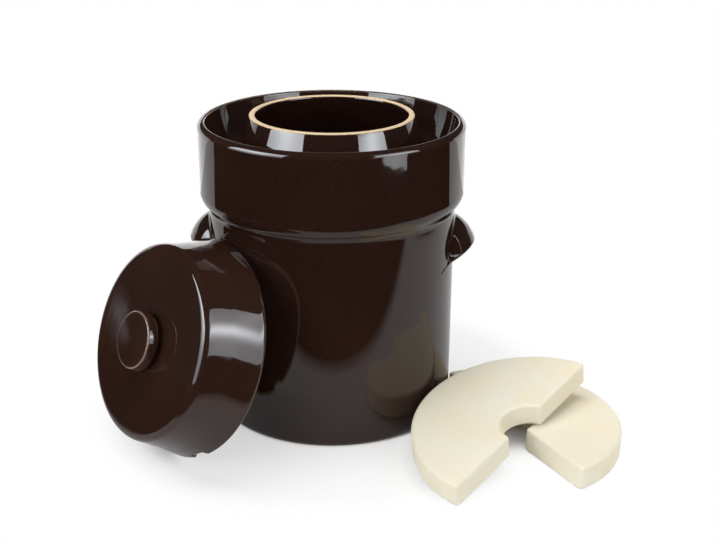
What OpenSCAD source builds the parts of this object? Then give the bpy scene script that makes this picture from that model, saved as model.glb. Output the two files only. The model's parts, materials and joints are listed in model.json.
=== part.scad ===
// Stoneware fermentation crock: pot, water gutter ring with conical neck, two shell handles,
// a lid that seals in the gutter, and two half-ring weight stones.
// The crock stands on z = 0 with its axis on z. The handles point along +x and -x, the front is -y.
// The lid leans on the crock's front left and the stones lie at its front right. Sizes in millimetres.

/* [Show] */
// Which piece to build

/* [Pot] */
// Outer radius of the straight wall
body_r = 104.5; // [92:0.5:116]
// Thickness of the wall
wall = 7.5; // [6.5:0.1:9]
// Height of the joint with the gutter ring, where the straight wall ends
body_top = 178; // [160:1:200]
// Thickness of the base
base_t = 10; // [8:0.5:14]
// Rounding of the outer edge of the foot
foot_round = 6; // [4:0.5:8]
// Width of the bare foot ring
foot_w = 15; // [10:0.5:20]
// Height of the recess inside the foot ring
foot_recess = 2.5; // [1.5:0.5:4]

/* [Gutter ring] */
// How far the collar stands out from the pot
collar_over = 7.6; // [5:0.1:10]
// Height of the curve between the pot and the collar
swell_h = 19; // [16:0.5:24]
// Height of the collar's rim above the joint
collar_h = 75.6; // [70:0.2:92]
// Thickness of the collar below the gutter
collar_wall = 9.1; // [8:0.1:11]
// Thickness of the collar at its rim
rim_t = 6.5; // [5.8:0.1:8]
// Rounding of the rim's outer edge
rim_out = 4.2; // [3:0.1:4.5]
// Rounding of the rim's inner edge
rim_in = 1.4; // [1:0.1:1.8]
// How much narrower the gutter's outside is at its floor than at the rim
gutter_lean = 11.3; // [9:0.1:13]
// Depth of the water gutter below the rim
gutter_d = 31; // [28:0.5:36]
// Thickness of the gutter's floor
gutter_t = 9; // [7:0.5:11]
// Height of the neck's lip above the rim of the collar
neck_rise = 4.5; // [2:0.1:6]
// Outer radius of the neck's lip
neck_r = 68.5; // [62:0.5:70]
// Thickness of the neck
neck_wall = 5.6; // [5:0.1:7]
// Gap between the foot of the neck and the rim of the lid
neck_play = 2.7; // [2.4:0.1:6]

/* [Handles] */
// Outer radius of the shell
shell_r = 34.6; // [30:0.2:36]
// How far the shell stands out from the wall
shell_out = 19.9; // [18:0.1:22]
// Thickness of the shell
shell_wall = 7.5; // [6:0.1:9]
// Height of the shell's centre below the joint
shell_drop = 38; // [37:0.5:44]
// Slope of the shell's lower rim
shell_tilt = 27.5; // [20:0.5:34]
// Height of the rim's outermost point above the shell's centre
shell_lift = 9; // [6:0.5:12]
// Turn of the pair of handles about the crock's axis
shell_turn = -3; // [-6:0.5:6]

/* [Lid] */
// Water gap between the lid's rim and the outside of the gutter's floor
lid_play = 3.5; // [2.5:0.1:5]
// Thickness of the lid's skirt
lid_wall = 6.6; // [5.5:0.1:7]
// Thickness of the lid's top
lid_top_t = 8.3; // [6:0.1:10]
// Air gap between the lid's top and the neck's lip when the lid is on
head_gap = 6.2; // [4:0.2:9]
// How much narrower the lid is at its shoulder than at its rim
lid_taper = 12.8; // [10:0.2:13]
// How far the skirt is hollowed between rim and shoulder
skirt_dip = 1.5; // [0.5:0.1:2]
// Rounding of the shoulder
shoulder_round = 6; // [4:0.5:9]
// Radius of the knob
knob_r = 23.6; // [20:0.2:28]
// Radius of the knob's waist
waist_r = 16.5; // [14:0.5:18]
// Height of the knob
knob_h = 13.4; // [12:0.1:18]
// Width of the gas notch in the rim
notch_w = 17; // [10:0.5:20]
// Height of the gas notch
notch_h = 4.5; // [3:0.1:6]

/* [Weight stones] */
// Gap between a stone and the inside of the pot
stone_play = 2; // [1.5:0.1:6]
// Radius of the hole the two stones make
hole_r = 23; // [18:0.5:26]
// Thickness of a stone
stone_t = 21; // [16:0.5:22]
// Gap between the two stones when they lie in the pot
stone_gap = 8; // [4:0.5:12]
// Rounding of the stone's edges
stone_round = 3; // [2:0.5:5]

/* [Lay-out] */
// Gap kept between loose pieces
gap = 0.35; // [0.3:0.05:1]
// Direction of the leaning lid, seen from the crock's axis
lid_way = 216.8; // [214:0.2:220]
// How far the lid leans back
lid_lean = 21.5; // [18:0.1:24]
// Direction of the lower stone's centre, seen from the crock's axis
lower_way = -32.2; // [-35:0.1:-30]
// Direction of the lower stone's cut
lower_turn = -63.3; // [-65:0.1:-61]
// Direction of the upper stone's cut
upper_turn = 48.2; // [47:0.1:50]

/* [Hidden] */
$fn = 96;
glaze = [0.17, 0.10, 0.08];
bare = [0.90, 0.87, 0.78];

// Heights and radii of the crock
rim_z = body_top + collar_h;
lip_z = rim_z + neck_rise;
floor_z = rim_z - gutter_d;
under_z = floor_z - gutter_t;
in_r = body_r - wall;
collar_r = body_r + collar_over;
rim_r = collar_r - rim_t;
gutter_r = rim_r - gutter_lean;
swell_share = 0.39;
swell_a = 2 * atan(collar_over / swell_h);
swell_sum = swell_h / sin(swell_a);
swell_lo = swell_share * swell_sum;
swell_hi = (1 - swell_share) * swell_sum;
bend_lo = body_top + swell_lo * tan(swell_a / 2);
bend_hi = bend_lo + collar_over / tan(swell_a);
under_r = collar_r - collar_wall;
lid_r = gutter_r - lid_play;
neck_lo = lid_r - lid_wall - neck_play;
neck_in = neck_r - neck_wall;
neck_slope = (neck_lo - neck_r) / (lip_z - floor_z);
neck_under = neck_in + neck_slope * (lip_z - under_z);
lip_round = neck_wall / 2 - 0.6;
throat_drop = 8;
throat_z = lip_z - throat_drop;
throat_r = neck_in + neck_slope * throat_drop;
gutter_out = 12;
gutter_start = 0.53;
gutter_steps = [0.22, 0.44, 0.66];
gutter_in = 3;
recess_round = 1.2;
inside_round = 12;
under_round = 8;

// Shell handles
shell_x = body_r + shell_out - shell_r;
shell_z = body_top - shell_drop;
shell_tip = shell_x + sqrt(shell_r * shell_r - shell_lift * shell_lift);

// Lid, along its own axis from the rim at 0 to the top
lid_in = gutter_d + neck_rise + head_gap;
lid_h = lid_in + lid_top_t;
bow_share = 0.34;
lid_mid = lid_h * bow_share;
lid_neck = lid_r - lid_taper;
lid_bow = lid_r - lid_taper * bow_share - skirt_dip;
lid_edge = 3;
skirt_turn = atan((lid_r - lid_bow) / lid_mid) - atan((lid_bow - lid_neck) / (lid_h - lid_mid));
skirt_curve = 0.66 * lid_mid / tan(skirt_turn / 2);
top_round = 6;
knob_edge = 1.6;
knob_back = 3;
knob_t = knob_h * 0.74;
waist_flare = 1.4;
waist_round = 0.9;

// Lid leaning on the wall: its rounded rim stands on the floor and meets the pot above
skirt_a = atan((lid_r - lid_bow) / lid_mid);
edge_r = lid_r - lid_edge / tan(45 - skirt_a / 2);
lid_out = body_r + gap + edge_r * sin(lid_lean) + lid_edge * (1 - cos(lid_lean));
lid_up = gap + edge_r * cos(lid_lean) + lid_edge * (1 - sin(lid_lean));
notch_turn = 147.3;

// Weight stones
stone_r = in_r - stone_play;
cut = stone_gap / 2;
half_chord = sqrt(stone_r * stone_r - cut * cut);

// The lower stone lies with its far corner a little off the pot's wall
corner_gap = 0.8;
lower_dir = [cos(lower_way), sin(lower_way)];
cut_dir = [cos(lower_turn), sin(lower_turn)];
cut_side = [-cut_dir[1], cut_dir[0]];
corner = -half_chord * cut_dir + cut * cut_side;
along = lower_dir * corner;
reach = body_r + corner_gap;
lower_dist = sqrt(along * along - corner * corner + reach * reach) - along;
lower_pos = lower_dist * lower_dir;

// The upper stone stands on its own end and leans on the lower one. Points of both flat faces'
// outlines that lie inside the other stone give the steepest rise it needs.
flat_edge = 0.6 * stone_round;
flat_out = stone_r - flat_edge;
flat_in = hole_r + flat_edge;
flat_chord = sqrt(flat_out * flat_out - cut * cut);
flat_hole = sqrt(flat_in * flat_in - cut * cut);
upper_shift = [0.155, -0.383];
upper_pos = lower_pos + stone_r * upper_shift;
up_dir = [cos(upper_turn), sin(upper_turn)];
up_side = [-up_dir[1], up_dir[0]];
function in_lower(p) =
    let (d = p - lower_pos, q = [d * cut_dir, d * cut_side])
    norm(q) < flat_out && norm(q) > flat_in && q[1] > cut;
function in_upper(p) =
    let (d = p - upper_pos, q = [d * up_dir, d * up_side])
    norm(q) < flat_out && norm(q) > flat_in && q[1] > cut;
function outline(c, u, v) = concat(
    [for (a = [2:0.5:178]) c + flat_out * (cos(a) * u + sin(a) * v)],
    [for (a = [8:1:172]) c + flat_in * (cos(a) * u + sin(a) * v)],
    [for (s = [flat_hole:0.5:flat_chord]) c + s * u + cut * v],
    [for (s = [flat_hole:0.5:flat_chord]) c - s * u + cut * v]);
shared = concat(
    [for (p = outline(lower_pos, cut_dir, cut_side)) if (in_upper(p)) (p - upper_pos) * up_dir],
    [for (p = outline(upper_pos, up_dir, up_side)) if (in_lower(p)) (p - upper_pos) * up_dir]);
first_met = min(shared) - 0.3;
upper_tilt = atan((stone_t + 1.5 * gap) / (half_chord + first_met));
foot_x = half_chord * (stone_r - stone_round) / stone_r;
upper_z = gap + foot_x * sin(upper_tilt) + stone_round * (1 - cos(upper_tilt));

// Corner i of a closed outline of [x, y, radius] points, as tangent points round the arc's centre
function prev_way(p, i) =
    let (a = p[(i + len(p) - 1) % len(p)], b = p[i], d = [a[0] - b[0], a[1] - b[1]]) d / norm(d);
function next_way(p, i) =
    let (a = p[(i + 1) % len(p)], b = p[i], d = [a[0] - b[0], a[1] - b[1]]) d / norm(d);
function corner_half(p, i) = acos(max(-1, min(1, prev_way(p, i) * next_way(p, i)))) / 2;
function tangent(p, i) = p[i][2] / tan(corner_half(p, i));
function corner_xy(p, i) = [p[i][0], p[i][1]];
function tan_in(p, i) = corner_xy(p, i) + tangent(p, i) * prev_way(p, i);
function tan_out(p, i) = corner_xy(p, i) + tangent(p, i) * next_way(p, i);
function arc_mid(p, i) =
    let (m = prev_way(p, i) + next_way(p, i))
    corner_xy(p, i) + m / norm(m) * p[i][2] / sin(corner_half(p, i));
function turns_left(p, i) =
    let (a = prev_way(p, i), b = next_way(p, i)) a[1] * b[0] - a[0] * b[1] > 0;
function corner_points(p, i) =
    p[i][2] > 0 ? [tan_in(p, i), arc_mid(p, i), tan_out(p, i)] : [corner_xy(p, i)];

// Slice of the circle that rounds corner i, a little wider than the arc itself
module corner_slice(p, i) {
    c = arc_mid(p, i);
    a = tan_in(p, i) - c;
    b = tan_out(p, i) - c;
    m = (a + b) / norm(a + b) * p[i][2];
    intersection() {
        translate(c) circle(r = p[i][2]);
        polygon([c - 0.2 * m, c + 1.3 * (a - 0.12 * m), c + 2.2 * m, c + 1.3 * (b - 0.12 * m)]);
    }
}

// Face inside a counter-clockwise outline, with its corners rounded by true arcs
module rounded_face(p) {
    difference() {
        union() {
            polygon([for (i = [0:len(p) - 1]) each corner_points(p, i)]);
            for (i = [0:len(p) - 1]) if (p[i][2] > 0 && turns_left(p, i)) corner_slice(p, i);
        }
        for (i = [0:len(p) - 1]) if (p[i][2] > 0 && !turns_left(p, i)) corner_slice(p, i);
    }
}

// Point of the gutter's hollow outside, at a share t of its depth
function gutter_at(t) =
    [rim_r - gutter_lean * t * (gutter_start + (1 - gutter_start) * t), rim_z - gutter_d * t, 0];

// Outside of the crock, filled to its axis
module crock_outside() {
    rounded_face([
        [0, foot_recess, 0],
        [body_r - foot_round - foot_w, foot_recess, recess_round],
        [body_r - foot_round - foot_w, 0, 0],
        [body_r, 0, foot_round],
        [body_r, bend_lo, swell_lo],
        [collar_r, bend_hi, swell_hi],
        [collar_r, rim_z, rim_out],
        [rim_r, rim_z, rim_in],
        each [for (t = gutter_steps) gutter_at(t)],
        [gutter_r, floor_z, gutter_out],
        [neck_lo, floor_z, gutter_in],
        [neck_r, lip_z, lip_round],
        [neck_in, lip_z, lip_round],
        [throat_r, throat_z, 0],
        [0, throat_z, 0]
    ]);
}

// Inside of the crock, filled to its axis
module crock_inside() {
    rounded_face([
        [0, base_t, 0],
        [in_r, base_t, inside_round],
        [in_r, bend_lo, swell_hi],
        [under_r, bend_hi, swell_lo],
        [under_r, under_z, under_round],
        [neck_under, under_z, under_round],
        [throat_r, throat_z, 0],
        [throat_r - 2 * throat_drop, lip_z + 2 * throat_drop, 0],
        [0, lip_z + 2 * throat_drop, 0]
    ]);
}

module crock_section() {
    difference() {
        crock_outside();
        crock_inside();
    }
}

// Wall and base, up to the joint
module pot() {
    color(glaze) rotate_extrude() intersection() {
        crock_section();
        translate([0, -1]) square([body_r + 20, body_top + 1]);
    }
}

// Collar, gutter floor and neck, from the joint up
module gutter_ring() {
    color(glaze) rotate_extrude() intersection() {
        crock_section();
        translate([0, body_top]) square([collar_r + 20, collar_h + 60]);
    }
}

// Hollow shell on the wall, cut off below by a sloping plane
module shell() {
    color(glaze) difference() {
        translate([shell_x, 0, shell_z]) sphere(r = shell_r);
        translate([shell_x, 0, shell_z]) sphere(r = shell_r - shell_wall);
        cylinder(r = body_r, h = body_top + 20);
        translate([shell_tip, 0, shell_z + shell_lift]) rotate([0, -shell_tilt, 0])
            translate([-150, -80, -120]) cube([250, 160, 120]);
    }
}

module handle_right() {
    rotate([0, 0, shell_turn]) shell();
}

module handle_left() {
    rotate([0, 0, shell_turn + 180]) shell();
}

// Moves a piece of the lid from its own axis to where it leans
module lean() {
    rotate([0, 0, lid_way]) translate([lid_out, 0, lid_up]) rotate([0, 90 - lid_lean, 0]) children();
}

module lid_outside() {
    rounded_face([
        [0, 0, 0],
        [lid_r, 0, lid_edge],
        [lid_bow, lid_mid, skirt_curve],
        [lid_neck, lid_h, shoulder_round],
        [0, lid_h, 0]
    ]);
}

module lid_inside() {
    rounded_face([
        [0, -20, 0],
        [lid_r - lid_wall, -20, 0],
        [lid_r - lid_wall, 0, 0],
        [lid_bow - lid_wall, lid_mid, skirt_curve],
        [lid_neck - lid_wall, lid_in, top_round],
        [0, lid_in, 0]
    ]);
}

// Skirt and top of the lid with the gas notch in its rim
module lid_cap() {
    color(glaze) lean() difference() {
        rotate_extrude() difference() {
            lid_outside();
            lid_inside();
        }
        rotate([0, 0, 180 - notch_turn]) translate([lid_r - 30, -notch_w / 2, -5])
            cube([60, notch_w, notch_h + 5]);
    }
}

// Waisted button on the lid
module lid_knob() {
    color(glaze) lean() translate([0, 0, lid_h]) rotate_extrude() rounded_face([
        [0, 0, 0],
        [waist_r + waist_flare, 0, 0],
        [waist_r, waist_flare, waist_round],
        [waist_r, knob_h - knob_t, waist_round],
        [knob_r, knob_h - knob_t, knob_back],
        [knob_r, knob_h, knob_edge],
        [0, knob_h, 0]
    ]);
}

// Half ring lying on its lower face, cut along x, with its round edges softened
module half_ring() {
    color(bare) intersection() {
        rotate_extrude() rounded_face([
            [hole_r, 0, stone_round],
            [stone_r, 0, stone_round],
            [stone_r, stone_t, stone_round],
            [hole_r, stone_t, stone_round]
        ]);
        translate([-stone_r - 5, cut, -5]) cube([2 * stone_r + 10, stone_r + 10, stone_t + 10]);
    }
}

module stone_lower() {
    translate([lower_pos[0], lower_pos[1], 0]) rotate([0, 0, lower_turn]) half_ring();
}

module stone_upper() {
    translate([upper_pos[0], upper_pos[1], upper_z]) rotate([0, 0, upper_turn])
        rotate([0, -upper_tilt, 0]) half_ring();
}

pot();
gutter_ring();
handle_left();
handle_right();
lid_cap();
lid_knob();
stone_lower();
stone_upper();
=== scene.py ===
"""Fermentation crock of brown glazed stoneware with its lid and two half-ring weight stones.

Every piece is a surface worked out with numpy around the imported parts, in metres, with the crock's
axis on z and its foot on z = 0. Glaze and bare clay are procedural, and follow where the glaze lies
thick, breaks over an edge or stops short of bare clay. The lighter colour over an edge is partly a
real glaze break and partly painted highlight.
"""

import json
import math
from typing import NamedTuple

import bpy
import numpy as np
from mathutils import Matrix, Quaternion, Vector


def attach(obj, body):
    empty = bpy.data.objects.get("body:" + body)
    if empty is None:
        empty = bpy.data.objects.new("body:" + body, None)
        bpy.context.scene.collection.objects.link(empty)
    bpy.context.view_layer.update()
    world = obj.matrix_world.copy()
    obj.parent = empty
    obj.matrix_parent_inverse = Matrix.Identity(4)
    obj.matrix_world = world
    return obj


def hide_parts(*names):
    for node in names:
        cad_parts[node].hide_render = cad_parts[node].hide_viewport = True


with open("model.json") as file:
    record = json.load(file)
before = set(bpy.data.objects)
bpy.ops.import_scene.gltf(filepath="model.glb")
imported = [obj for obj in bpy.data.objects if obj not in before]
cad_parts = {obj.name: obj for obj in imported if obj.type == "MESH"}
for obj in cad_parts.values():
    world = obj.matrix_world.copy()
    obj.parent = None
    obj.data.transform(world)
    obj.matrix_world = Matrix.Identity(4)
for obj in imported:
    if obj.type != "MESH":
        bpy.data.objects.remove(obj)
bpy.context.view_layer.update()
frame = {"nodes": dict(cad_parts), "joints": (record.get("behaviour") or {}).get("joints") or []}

bl_info = {
    "name": "Fermentation crock",
    "version": (1, 0, 0),
    "blender": (4, 5, 0),
    "location": "3D View, Sidebar, Crock",
    "description": "Builds a stoneware crock with a water gutter, its lid and its weight stones",
    "category": "Mesh",
}

MM = 0.001
WELD = 1e-7
SHARP = math.radians(40)
WHITE = (1, 1, 1, 1)

# Heights between which bare clay gives way to glaze: at the foot, at the lip's edge, at the lid's rim
FOOT_FADE = (0.6 * MM, 1.8 * MM)
LIP_FADE = (-0.5 * MM, 0.5 * MM)
RIM_FADE = (0.15 * MM, 0.7 * MM)


def length(name, description, millimetres):
    """A property for one size, given in millimetres and kept in metres."""
    return bpy.props.FloatProperty(
        name=name, description=description, default=millimetres * MM, unit="LENGTH", precision=5)


def angle(name, description, degrees):
    """A property for one angle, given in degrees."""
    return bpy.props.FloatProperty(
        name=name, description=description, default=math.radians(degrees), subtype="ANGLE")


def amount(name, description, value):
    """A property for one plain number."""
    return bpy.props.FloatProperty(name=name, description=description, default=value, precision=4)


def colour(name, description, value):
    """A property for one linear colour."""
    return bpy.props.FloatVectorProperty(
        name=name, description=description, default=value, subtype="COLOR", size=3, min=0, max=1)


def pointer(kind, name, description):
    """A property that holds one group of settings."""
    return bpy.props.PointerProperty(type=kind, name=name, description=description)


class PotSizes(bpy.types.PropertyGroup):
    """Sizes of the pot."""

    radius: length("Radius", "Outer radius of the straight wall", 104.5)
    wall: length("Wall", "Thickness of the wall", 7.5)
    top: length("Joint", "Height of the joint with the gutter ring", 178)
    base: length("Base", "Thickness of the base", 10)
    foot_round: length("Foot rounding", "Rounding of the outer edge of the foot", 6)
    foot_width: length("Foot ring", "Width of the bare foot ring", 15)
    foot_edge: length("Foot edge", "Rounding of the inner edge of the foot ring", 0.6)
    recess: length("Recess", "Height of the recess inside the foot ring", 2.5)
    recess_round: length("Recess rounding", "Rounding of the recess's corner", 1.2)
    inside_round: length("Inside rounding", "Rounding between the base and the wall", 12)
    uneven: length("Unevenness", "Depth of the wall's slow hollows", 0.16)


class RingSizes(bpy.types.PropertyGroup):
    """Sizes of the gutter ring with its collar and neck."""

    over: length("Overhang", "How far the collar stands out from the pot", 7.6)
    swell: length("Swell", "Height of the curve between the pot and the collar", 19)
    swell_share: amount("Swell share", "Share of the swell that its lower arc takes", 0.39)
    height: length("Height", "Height of the collar's rim above the joint", 75.6)
    wall: length("Collar wall", "Thickness of the collar below the gutter", 9.1)
    rim: length("Rim", "Thickness of the collar at its rim", 6.5)
    lean: length("Gutter lean", "How much narrower the gutter's outside is at its floor", 11.3)
    start: amount("Gutter start", "Slope of the gutter's outside at the rim, as a share of its mean", 0.53)
    rim_out: length("Rim outside", "Rounding of the rim's outer edge", 4.6)
    rim_in: length("Rim inside", "Rounding of the rim's inner edge", 1.5)
    depth: length("Gutter depth", "Depth of the water gutter below the rim", 31)
    floor: length("Gutter floor", "Thickness of the gutter's floor", 9)
    gutter_out: length("Gutter rounding", "Rounding between the gutter's floor and the collar", 12)
    gutter_in: length("Neck rounding", "Rounding between the gutter's floor and the neck", 3)
    under_round: length("Under rounding", "Rounding of the corners under the gutter", 8)
    rise: length("Lip rise", "Height of the neck's lip above the rim", 4.5)
    lip: length("Lip radius", "Outer radius of the neck's lip", 68.5)
    lip_flat: length("Lip flat", "Half the width of the flat on the lip", 0.6)
    neck_wall: length("Neck wall", "Thickness of the neck", 5.6)
    neck_foot: length("Neck foot", "Outer radius of the neck at the gutter's floor", 81.5)
    bare: length("Bare lip", "Height of the bare band on the lip", 0.9)


class HandleSizes(bpy.types.PropertyGroup):
    """Sizes of the shell handles."""

    radius: length("Radius", "Outer radius of the shell", 34.6)
    reach: length("Reach", "How far the shell stands out from the wall", 19.9)
    wall: length("Wall", "Thickness of the shell", 7.5)
    drop: length("Drop", "Height of the shell's centre below the joint", 38)
    tilt: angle("Tilt", "Slope of the shell's lower rim", 27.5)
    lift: length("Lift", "Height of the rim's outermost point above the centre", 9)
    turn: angle("Turn", "Turn of the pair about the crock's axis", -3)
    blend: length("Blend", "Reach of the soft blend into the wall", 3.2)
    crease: length("Crease", "Reach of the blend inside the hollow", 1.4)
    rim_hang: amount("Rim", "How far the round rim hangs down, as a share of the wall", 0.45)
    rim_power: amount("Rim squareness", "Power of the rounded square of the rim", 2.6)


class LidSizes(bpy.types.PropertyGroup):
    """Sizes of the lid and its knob."""

    radius: length("Radius", "Outer radius of the rim", 90.8)
    wall: length("Wall", "Thickness of the skirt", 6.6)
    inside: length("Inside height", "Height of the inside", 41.7)
    inside_round: length("Inside rounding", "Rounding of the inside's corner", 6)
    top: length("Top", "Thickness of the top", 8.3)
    taper: length("Taper", "How much narrower the shoulder is than the rim", 12.8)
    dip: length("Dip", "How far the skirt is hollowed", 1.5)
    dip_share: amount("Dip height", "Height of the hollow as a share of the lid's height", 0.34)
    dip_round: length("Dip rounding", "Radius of the skirt's hollow", 180)
    shoulder: length("Shoulder", "Rounding of the shoulder", 6)
    edge: length("Edge", "Rounding of the rim's outer edge", 3)
    edge_in: length("Inner edge", "Rounding of the rim's inner edge", 1.4)
    notch_width: length("Notch width", "Width of the gas notch", 17)
    notch_height: length("Notch height", "Height of the gas notch", 4.5)
    notch_turn: angle("Notch turn", "Turn of the gas notch from the lid's lowest point", 32.7)
    knob: length("Knob radius", "Radius of the knob's button", 23.6)
    knob_swell: length("Knob swell", "How much wider the button's outline is at its back", 1.0)
    knob_taper: length("Knob taper", "How much narrower the button is in front", 0.9)
    knob_crown: length("Knob crown", "How much the button's face rises to its middle", 0.25)
    waist: length("Waist radius", "Radius of the knob's waist", 16.5)
    waist_flare: length("Waist flare", "How much wider the waist is at the lid", 1.6)
    waist_round: length("Waist rounding", "Rounding between the waist and the button", 1.0)
    tenon: length("Tenon", "How deep the knob sits in the lid", 1.2)
    knob_height: length("Knob height", "Height of the knob", 13.4)
    button_share: amount("Button", "Share of the knob's height that its button takes", 0.74)
    knob_edge: length("Knob edge", "Rounding of the button's front edge", 1.4)
    knob_back: length("Knob back", "Rounding of the button's back edge", 3.0)


class StoneSizes(bpy.types.PropertyGroup):
    """Sizes of a half-ring weight stone."""

    radius: length("Radius", "Outer radius", 94.9)
    hole: length("Hole", "Radius of the hole that two stones make", 23)
    thickness: length("Thickness", "Thickness of a stone", 21)
    cut: length("Cut", "Distance of the cut from the ring's centre", 4)
    edge: length("Edge", "Rounding of all edges", 3)
    crown: length("Crown", "How much lower a flat face lies at its edge", 0.25)
    finish: length("Hand finish", "Depth of the faint unevenness of the flat faces", 0.18)
    ease: length("Ease", "How far the outer edge keeps inside the packed stone's", 0.05)


class GlazeLook(bpy.types.PropertyGroup):
    """Colours of the brown glaze and of the clay under it."""

    deep: colour("Deep glaze", "Colour where the glaze lies thick", (0.0172, 0.0074, 0.0052))
    warm: colour("Warm glaze", "Colour of its slow drifts", (0.0225, 0.0094, 0.0062))
    # Thin glaze colour: partly real glaze break over edges, partly painted highlight along them.
    thin: colour("Thin glaze", "Colour where it breaks over an edge", (0.3300, 0.2300, 0.1800))
    bare: colour("Bare clay", "Colour of the unglazed lip and foot", (0.6200, 0.4700, 0.2900))
    # Painted light: the lid and the knob take lighter copies of the glaze's brown, which stand in for more
    # light falling on them.
    lid_fire: amount("Lid fire", "How many times lighter the lid's brown came out of the kiln", 1.25)
    knob_fire: amount("Knob fire", "How many times lighter the knob's brown came out of the kiln", 1.3)
    ior: amount("Index", "Index of refraction of the glaze", 1.52)


class StoneLook(bpy.types.PropertyGroup):
    """Colours of the fired clay of the weight stones."""

    body: colour("Body", "Main colour", (0.7700, 0.7330, 0.6000))
    warm: colour("Warm", "Colour of its slow drifts", (0.7750, 0.7100, 0.5400))
    pit: colour("Pit", "Colour inside its small pores", (0.5600, 0.4900, 0.3500))


class StageLook(bpy.types.PropertyGroup):
    """Camera, floor and lights."""

    eye: bpy.props.FloatVectorProperty(
        name="Eye", description="Place of the camera", default=(0, -0.93747, 0.48570),
        subtype="TRANSLATION", precision=5)
    aim: bpy.props.FloatVectorProperty(
        name="Aim", description="Direction in which the camera looks",
        default=(0.02216, 0.93060, -0.36536), subtype="DIRECTION", precision=5)
    roll: angle("Roll", "Turn of the camera about its line of sight", 0.28)
    lens: amount("Lens", "Focal length in millimetres on a sensor 36 mm wide", 57.82)
    paper: colour("Paper", "Colour of the floor and the sweep", (0.900, 0.898, 0.893))
    white: amount("White", "Share of plain white in the floor next to the crock", 0.55)
    room: amount("Room", "How bright the dark tent round the table is in reflections", 0.035)
    veil: amount("Veil", "How much the table is dimmed in reflections", 0.22)
    front: length("Front edge", "Where the white table ends in front, for reflections", -235)
    fade: length("Front fade", "How softly the white table ends in front", 38)
    left: amount("Left light", "Radiance of the left light on matte clay", 3.9)
    right: amount("Right light", "Radiance of the right light on matte clay", 2.9)
    top: amount("Top light", "Radiance of the light above on matte clay", 4.3)
    gleam: amount("Side gleam", "Radiance of the two side lights in the glaze", 13.3)
    gleam_far: amount("Far gleam", "Radiance of the narrow far light in the glaze", 2.0)
    glow: amount("Sweep glow", "Light that the sweep behind gives by itself", 0.45)


class CrockSettings(bpy.types.PropertyGroup):
    """Everything that the crock's operators read."""

    pot: pointer(PotSizes, "Pot", "Sizes of the pot")
    ring: pointer(RingSizes, "Ring", "Sizes of the gutter ring")
    handle: pointer(HandleSizes, "Handles", "Sizes of the shell handles")
    lid: pointer(LidSizes, "Lid", "Sizes of the lid and its knob")
    stone: pointer(StoneSizes, "Stones", "Sizes of the weight stones")
    glaze: pointer(GlazeLook, "Glaze", "Colours of the glaze")
    clay: pointer(StoneLook, "Clay", "Colours of the stones")
    stage: pointer(StageLook, "Stage", "Camera, floor and lights")


# Outlines

def rounded_outline(corners, arc_steps=14, line_step=4 * MM, spread=0.6 * MM):
    """A closed outline of [r, z, rounding, thinness] corners: its points, and how thin the glaze lies.

    A rounded corner becomes the arc of that radius tangent to its two sides: its centre lies on the
    corner's bisector, at rounding / sin(half the corner's angle). Straight stretches are cut into
    short steps. A corner's thinness fades as exp(-(d / spread)^2) with the distance d from its arc's
    middle.
    """
    table = np.array([[*corner, 0.0][:4] for corner in corners])
    point, rounding = table[:, :2], table[:, 2]
    back = np.roll(point, 1, 0) - point
    ahead = np.roll(point, -1, 0) - point
    back /= np.linalg.norm(back, axis=1)[:, None]
    ahead /= np.linalg.norm(ahead, axis=1)[:, None]
    half = np.arccos(np.clip((back * ahead).sum(1), -1, 1)) / 2
    reach = (rounding / np.tan(half))[:, None]
    start, end = point + reach * back, point + reach * ahead
    way = back + ahead
    way /= np.linalg.norm(way, axis=1)[:, None]
    middle = point + way * (rounding / np.sin(half))[:, None]
    crest = middle - way * rounding[:, None]
    points = []
    share = np.linspace(0, 1, arc_steps + 1)[:, None]
    for i in range(len(table)):
        if rounding[i] > 0:
            sweep = np.pi - 2 * half[i]
            arc = np.sin((1 - share) * sweep) * (start[i] - middle[i])
            arc = arc + np.sin(share * sweep) * (end[i] - middle[i])
            points.append(middle[i] + arc / np.sin(sweep))
        else:
            points.append(point[i : i + 1])
        following = start[(i + 1) % len(table)]
        steps = max(int(np.linalg.norm(following - end[i]) / line_step), 1)
        line = np.linspace(0, 1, steps + 1)[1:-1, None]
        points.append(end[i] + line * (following - end[i]))
    points = np.concatenate(points)
    away = np.linalg.norm(points[:, None] - crest[None], axis=2)
    thin = (table[:, 3] * np.exp(-((away / spread) ** 2))).sum(1)
    return points, np.clip(thin, 0, 1)


def smooth_step(low, high, value):
    """Rises from 0 at low to 1 at high as 3t^2 - 2t^3."""
    t = np.clip((value - low) / (high - low), 0, 1)
    return t * t * (3 - 2 * t)


def smooth_max(a, b, reach):
    """The larger of a and b, lifted by (reach - |a - b|)^2 / 4 reach where they come that close."""
    close = np.maximum(reach - np.abs(a - b), 0)
    return np.maximum(a, b) + close * close / (4 * reach)


# Grids and meshes

def grid_faces(rows, columns, loop):
    """Corner numbers of the squares of a grid whose columns close on themselves, and rows if loop."""
    index = np.arange(rows * columns).reshape(rows, columns)
    down, right = np.roll(index, -1, 0), np.roll(index, -1, 1)
    squares = np.stack([index, right, np.roll(down, -1, 1), down], 2)
    return squares[: rows if loop else rows - 1].reshape(-1, 4)


def welded(points, faces):
    """Numbers of the points to keep, and the squares and triangles left, with coincident points made one.

    A square with two equal corners becomes a triangle, so poles and seams are closed, and faces that
    vanish are left out.
    """
    keys = np.round(points / WELD).astype(np.int64)
    _, first, number = np.unique(keys, axis=0, return_index=True, return_inverse=True)
    faces = number.reshape(-1)[faces]
    kept = faces != np.roll(faces, 1, 1)
    count = kept.sum(1)
    squares = faces[count == 4]
    squares = squares[(squares[:, 0] != squares[:, 2]) & (squares[:, 1] != squares[:, 3])]
    triangles = faces[count == 3][kept[count == 3]].reshape(-1, 3)
    return first, squares, triangles


def signed_volume(points, triangles):
    """Volume inside the triangles, positive when they face outwards."""
    a, b, c = points[triangles[:, 0]], points[triangles[:, 1]], points[triangles[:, 2]]
    return (a * np.cross(b, c)).sum() / 6


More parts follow.
